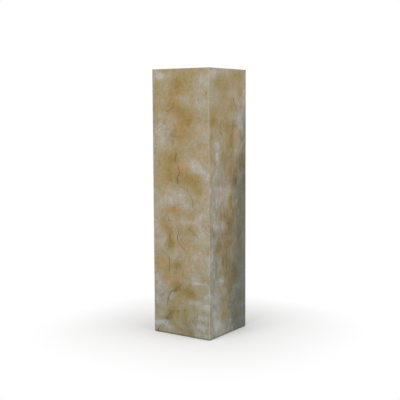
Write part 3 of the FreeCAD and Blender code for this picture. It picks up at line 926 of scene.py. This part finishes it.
def pine():
    """Sawn pine: wide growth rings, resin pores and rough faces."""
    material, place = new_material("sawn_pine")
    wood = use(TIMBER, Place=place, Ring=0.0042, Pith=(0.031, 0.047, 0))
    colour = mix(wood["Late wood"] * 0.8, tone(222, 190, 140), tone(184, 130, 76))
    colour = mix(wood["Pores"] * 0.4, colour, tone(156, 108, 64))
    saw = noise(place * (0.2, 0.2, 1), 0.0015, 2.0, 0.5)
    height = saw.times(0.5, plus=wood["Height"])
    return painted(material, dusty(place, colour, 0.2), saw.times(0.2, plus=0.55), height, 0.3 * MM)


def zinc():
    """Bright zinc on steel: faint crystals, fine scratches and dull, greyer spots."""
    material, place = new_material("zinc_plating")
    crystals = field(place.tree, "ShaderNodeTexVoronoi", {"Vector": place, "Scale": 900.0}, "Color")
    facet = field(place.tree, "ShaderNodeSeparateColor", {0: crystals})
    scratches = ramp(noise(place * (1, 0.08, 0.3), 0.0006, 2.0, 0.7), 0.62, 0.72)
    dull = ramp(noise(place, 0.006, 5.0, 0.65), 0.45, 0.70)
    colour = mix(facet, tone(188, 192, 194), tone(212, 214, 212))
    colour = mix(dull * 0.7, colour, tone(150, 152, 150))
    rough = dull.times(0.25, plus=facet.times(0.06, plus=0.24))
    return painted(material, colour, rough, scratches.times(-1.0, plus=dull), 0.04 * MM, Metallic=1.0)


def rubber():
    """Moulded black rubber, dusty and rubbed grey in patches."""
    material, place = new_material("moulded_rubber")
    texture = noise(place, 0.0008, 3.0, 0.6)
    rubbed = ramp(noise(place, 0.010, 4.0, 0.6), 0.4, 0.7)
    colour = dusty(place, mix(rubbed, tone(40, 40, 41), tone(58, 57, 55)), 0.12)
    return painted(material, colour, texture.times(0.3, plus=0.55), texture, 0.1 * MM)


def dress(node, material):
    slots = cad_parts[node].data.materials
    slots.clear()
    slots.append(material)


BOARD_PLY = 18 * MM / 13                   # thickness of one ply in the two boards
STIFFENER_PLY = 12 * MM / 9                # in the stiffeners
SPLINE_PLY = 4 * MM / 3                    # and in the tongues across the mitres


def dress_boards():
    """The boards, battens and tongues under the stone."""
    board = fibreboard()
    for side in SIDES:
        dress(side + "_panel", board)
    for node, ply, grain in (
        ("base_board", BOARD_PLY, X), ("top_board", BOARD_PLY, Y),
        ("lower_stiffener", STIFFENER_PLY, X), ("upper_stiffener", STIFFENER_PLY, Y),
    ):
        dress(node, plywood(node + "_ply", Z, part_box(node)[0].z, ply, grain))
    batten = pine()
    for corner in CORNERS:
        dress("corner_batten_" + corner, batten)
        low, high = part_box("mitre_spline_" + corner)
        middle = (low + high) / 2
        outwards = Vector((middle.x, middle.y, 0)).normalized()
        start = middle.dot(outwards) - 1.5 * SPLINE_PLY
        dress("mitre_spline_" + corner, plywood("spline_ply_" + corner, outwards, start, SPLINE_PLY, Z))


# ---------------------------------------------------------------- turned and threaded pieces

TURN_STEPS = 32                            # facets round a turned piece
THREAD_STEPS = 6                           # rows of a thread for each of its turns
SCREW_HEAD = 4.4 * MM                      # radius of a wood screw's head
SCREW_SHANK = 2.1 * MM                     # and over its thread
SCREW_RIM = 0.35 * MM                      # the upright rim of its head
SCREW_PITCH = 2.6 * MM
SCREW_PLAIN = 24 * MM                      # head's face to the start of the thread
SCREW_POINT = 5 * MM
SCREW_DEPTH = 0.75 * MM                    # how deep its thread is cut
STUD_PITCH = 1.25 * MM
STUD_DEPTH = 0.65 * MM
STUD_NECK = 4 * MM                         # radius of the stud
STUD_SWAGE = 6 * MM                        # and of its swaged head
STUD_GAP = 0.3 * MM                        # clear above and below its hexagon


def turned(name, rows):
    """A closed turned piece from (radius, height, share of the thread's depth) rows.

    A radius may be a function of the angle.  Where the last row is the first again, the piece is a
    ring, and otherwise its ends lie on the axis.
    """
    points, threads, rings = [], [], []
    for row in rows:
        radius, z, thread = row
        if rings and row == rows[0]:
            rings.append(rings[0])
            continue
        count = 1 if radius == 0 else TURN_STEPS
        rings.append([len(points) + n % count for n in range(TURN_STEPS)])
        for n in range(count):
            angle = 2 * math.pi * n / TURN_STEPS
            r = radius(angle) if callable(radius) else radius
            points.append((r * math.cos(angle), r * math.sin(angle), z))
            threads.append(thread)
    faces = [
        (low[n - 1], low[n], high[n], high[n - 1])
        for low, high in zip(rings, rings[1:]) for n in range(TURN_STEPS)
    ]
    return closed_mesh(name, points, faces, "thread", threads)


def softened(outline, radius, steps=3):
    """A closed outline with its corners rounded, each by radius or as far as its sides allow."""
    rows = []
    for n, (r, z) in enumerate(outline):
        here = Vector((r, z))
        arms = [Vector(outline[n - 1]) - here, Vector(outline[(n + 1) % len(outline)]) - here]
        first, last = (here + arm.normalized() * min(radius, 0.45 * arm.length) for arm in arms)
        for k in range(steps + 1):
            t = k / steps
            bend = first * (1 - t) ** 2 + here * 2 * t * (1 - t) + last * t ** 2
            rows.append((bend.x, bend.y, 0.0))
    return rows + rows[:1]


def thread_tree():
    """Cuts a right-hand thread into a turned piece, and sets copies of it at the corners of a square."""
    inputs = {
        "Geometry": "Geometry", "Pitch": 0.001, "Depth": 0.0, "Sharpness": 1.0, "Square": 0.0,
        "Height": 0.0, "Copies a side": 1, "Finish": "Material",
    }
    tree, given = new_group("screw_thread", inputs, {"Geometry": "Geometry"}, "GeometryNodeTree")
    place = field(tree, "GeometryNodeInputPosition")
    x, y, z = split(place)
    turn = y.maths("ARCTAN2", y, x) / (2 * math.pi)
    phase = (z / given["Pitch"] - turn).fraction()
    ridge = 1.0 - abs(phase.times(2.0, plus=-1.0))
    root = 1.0 - ridge.maths("POWER", ridge, given["Sharpness"])
    share = field(tree, "GeometryNodeInputNamedAttribute", {"Name": "thread"}, data_type="FLOAT")
    depth = root * share * given["Depth"]
    shape = pushed(given["Geometry"], (place * (1, 1, 0)).unit() * -depth)
    side, copies = given["Square"], given["Copies a side"]
    square = field(tree, "GeometryNodeMeshGrid", {0: side, 1: side, 2: copies, 3: copies})
    square = pushed(square, joined(0.0, 0.0, given["Height"]))
    shape = field(tree, "GeometryNodeInstanceOnPoints", {"Points": square, "Instance": shape})
    return closed_tree(tree, shape, given["Finish"])


def screw_rows(length):
    """A countersunk wood screw from the middle of its cross-shaped recess to its point."""
    head, root = SCREW_HEAD, 0.85 * SCREW_SHANK
    arm, waist, slot, deep = 0.52 * head, 0.20 * head, 0.10 * head, 0.55 * head

    def recess(share):
        """The outline of the recess, at share of its size."""
        def radius(angle):
            return share * max(waist, min(arm, slot / max(1e-6, abs(math.sin(2 * angle) / 2))))
        return radius

    rows = [(0, 1.25 * deep, 0), (recess(0.55), deep, 0), (recess(1.0), 0.06 * MM, 0), (recess(1.08), 0, 0)]
    rows += [(0.94 * head, 0, 0), (head, 0.12 * MM, 0), (head, SCREW_RIM, 0)]
    rows += [(root, SCREW_RIM + head - root, 0), (root, SCREW_PLAIN, 0)]
    count = round((length - SCREW_PLAIN) / SCREW_PITCH * THREAD_STEPS)
    for n in range(1, count):
        z = SCREW_PLAIN + (length - SCREW_PLAIN) * n / count
        point = min(1.0, (length - z) / SCREW_POINT)
        rows.append((SCREW_SHANK * point, z, point * min(1.0, n / THREAD_STEPS)))
    return rows + [(0, length, 0)]


def finish_piece(piece, body, node):
    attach(piece, body)
    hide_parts(node)


def wood_screws(tree, finish):
    """Four screws up through the base board and four down through the top board."""
    for node in ("base_screws", "top_screws"):
        low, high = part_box(node)
        mesh = turned(node + "_cut", screw_rows(high.z - low.z))
        if node == "top_screws":
            mesh.transform(Matrix.Rotation(math.pi, 4, "X"))
        piece = new_piece(node + "_cut", mesh)
        shaped(
            piece, tree, Pitch=SCREW_PITCH, Depth=SCREW_DEPTH, Sharpness=2.5,
            Square=high.x - low.x - 2 * SCREW_HEAD, Height=low.z if node == "base_screws" else high.z,
            Copies_a_side=2, Finish=finish,
        )
        finish_piece(piece, "column", node)


def stud_rows(corner):
    """A levelling stud: swaged head, plain neck, chamfered hexagon and threaded length."""
    low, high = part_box("foot_stud_" + corner)
    flats = high.y - low.y
    collar_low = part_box("foot_base_" + corner)[1].z + STUD_GAP
    collar_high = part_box("threaded_inserts")[0].z - STUD_GAP
    swage_top = low.z + 1.2 * MM
    edge, chamfer = 0.3 * MM, 0.5 * MM

    def hexagon(limit):
        def radius(angle):
            return min(limit, flats / 2 / math.cos(angle % (math.pi / 3) - math.pi / 6))
        return radius

    full, cut = hexagon(flats), hexagon(0.53 * flats)
    rows = [(0, low.z, 0), (STUD_SWAGE - edge, low.z, 0), (STUD_SWAGE, low.z + edge, 0)]
    rows += [(STUD_SWAGE, swage_top, 0), (STUD_NECK, swage_top, 0), (STUD_NECK, collar_low, 0)]
    rows += [(cut, collar_low, 0), (full, collar_low + chamfer, 0)]
    rows += [(full, collar_high - chamfer, 0), (cut, collar_high, 0)]
    count = round((high.z - collar_high) / STUD_PITCH * THREAD_STEPS)
    for n in range(count):
        z = collar_high + (high.z - collar_high) * n / count
        lead = min(1.0, (high.z - z) / MM)
        rows.append((STUD_NECK - (1 - lead) * MM, z, lead * min(1.0, n / THREAD_STEPS)))
    return rows + [(STUD_NECK - MM, high.z, 0), (0, high.z, 0)]


def foot_rows(corner):
    """A pressed foot: boss, dish and rim above, room for sole and stud below."""
    low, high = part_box("foot_base_" + corner)
    sole_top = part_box("foot_sole_" + corner)[1].z
    reach = (high.x - low.x) / 2
    wall, rim_top, edge = 2 * MM, low.z + 1.6 * MM, 0.5 * MM
    bore, boss, room, ceiling = 4.06 * MM, 8.5 * MM, 6.25 * MM, sole_top + 1.66 * MM
    return softened([
        (bore, high.z), (boss, high.z), (boss, high.z - wall), (reach, rim_top), (reach, low.z),
        (reach - wall, low.z), (reach - wall, sole_top), (room, sole_top), (room, ceiling), (bore, ceiling),
    ], edge)


def sole_rows(corner):
    """A moulded sole with ring-shaped grooves underneath."""
    low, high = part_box("foot_sole_" + corner)
    reach, groove, ring, edge = (high.x - low.x) / 2, 0.6 * MM, 2.8 * MM, 0.5 * MM
    rows = [(0, 0, 0)]
    for n in range(1, 6):
        r = n * ring
        rows += [(r, 0, 0), (r + 0.15 * MM, groove, 0), (r + 0.85 * MM, groove, 0), (r + MM, 0, 0)]
    return rows + [(reach - edge, 0, 0), (reach, edge, 0), (reach, high.z, 0), (0, high.z, 0)]


def levelling_feet(tree, metal, sole_finish):
    for corner in CORNERS:
        low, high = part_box("foot_base_" + corner)
        place = Matrix.Translation(((low.x + high.x) / 2, (low.y + high.y) / 2, 0))
        for name, node, body, slot, rows, finish, depth in (
            ("threaded_stud_", "foot_stud_", "stud_", "zinc_steel", stud_rows(corner), metal, STUD_DEPTH),
            ("pressed_foot_", "foot_base_", "foot_", "zinc_steel", foot_rows(corner), metal, 0),
            ("grooved_sole_", "foot_sole_", "foot_", "sole_rubber", sole_rows(corner), sole_finish, 0),
        ):
            piece = new_piece(name + corner, turned(name + corner, rows))
            shaped(piece, tree, Pitch=STUD_PITCH, Depth=depth, Finish=finish)
            piece.data.transform(place)
            finish_piece(piece, body + corner, node + corner)


for side in SHEETS:
    stone_sheet(side)
dress_boards()
THREADED = thread_tree()
METAL = zinc()
dress("threaded_inserts", METAL)
wood_screws(THREADED, METAL)
levelling_feet(THREADED, METAL, rubber())


# ---------------------------------------------------------------- floor, light and camera

def shown(tree):
    """1 for the rays that show a thing to the camera: straight, or by way of gloss or glass."""
    rays = add(tree, "ShaderNodeLightPath").outputs
    ways = ("Is Camera Ray", "Is Glossy Ray", "Is Transmission Ray")
    straight, gloss, glass = (Field(rays[way]) for way in ways)
    return straight.at_least(gloss.at_least(glass))


def studio_floor():
    """A pale floor that keeps the shadow near the column and fades to white further out."""
    far = FLOOR_REACH
    mesh = bpy.data.meshes.new("floor")
    mesh.from_pydata([(-far, -far, 0), (far, -far, 0), (far, far, 0), (-far, far, 0)], [], [(0, 1, 2, 3)])
    material, place = new_material("studio_floor")
    tree = place.tree
    tree.nodes.remove(tree.nodes["Principled BSDF"])
    seen = shown(tree)
    dull = (FLOOR_TONE, FLOOR_TONE, FLOOR_TONE, 1)
    matt = field(tree, "ShaderNodeBsdfDiffuse", {"Color": mix(seen, dull, WHITE)})
    white = field(tree, "ShaderNodeEmission", {"Color": WHITE, "Strength": 1.0})
    clear = field(tree, "ShaderNodeBsdfTransparent")
    beside = abs(place) - (HALF, HALF, 0)
    faded = ramp(beside.at_least((0, 0, 0)).length(), 0.0, FADE, kind="LINEAR")
    top = field(tree, "ShaderNodeMixShader", {0: faded * seen, 1: matt, 2: white})
    below = field(tree, "ShaderNodeNewGeometry", output="Backfacing")
    whole = field(tree, "ShaderNodeMixShader", {0: below, 1: top, 2: clear})
    feed(tree.nodes["Material Output"], Surface=whole)
    mesh.materials.append(material)
    floor = new_piece("floor", mesh)


def studio_sky():
    world = bpy.data.worlds.new("studio_sky")
    bpy.context.scene.world = world
    world.use_nodes = True
    tree = world.node_tree
    strength = ramp(shown(tree), 0, 1, SKY_LEVEL, 1.0, "LINEAR")
    feed(tree.nodes["Background"], Color=WHITE, Strength=strength)


def soft_lamp(name, place, power):
    light = bpy.data.lights.new(name, "AREA")
    light.shape = "DISK"
    light.size = LAMP_SIZE
    light.energy = power
    lamp = new_piece(name, light)
    lamp.location = place
    lamp.rotation_euler = (Vector((0, 0, HEIGHT / 2)) - Vector(place)).to_track_quat("-Z", "Y").to_euler()


def camera():
    view = bpy.data.cameras.new("camera")
    view.lens = CAMERA_LENS
    view.sensor_width = CAMERA_SENSOR
    view.dof.use_dof = False
    holder = new_piece("camera", view)
    holder.location = CAMERA_PLACE
    aim = Euler((math.pi / 2 - CAMERA_DIP, 0, CAMERA_HEADING)).to_matrix()
    holder.rotation_euler = (aim @ Matrix.Rotation(CAMERA_ROLL, 3, "Z")).to_euler()
    bpy.context.scene.camera = holder


studio_floor()
studio_sky()
soft_lamp("front_lamp", *FRONT_LAMP)
soft_lamp("right_lamp", *RIGHT_LAMP)
camera()
bpy.context.scene.view_settings.view_transform = "Standard"
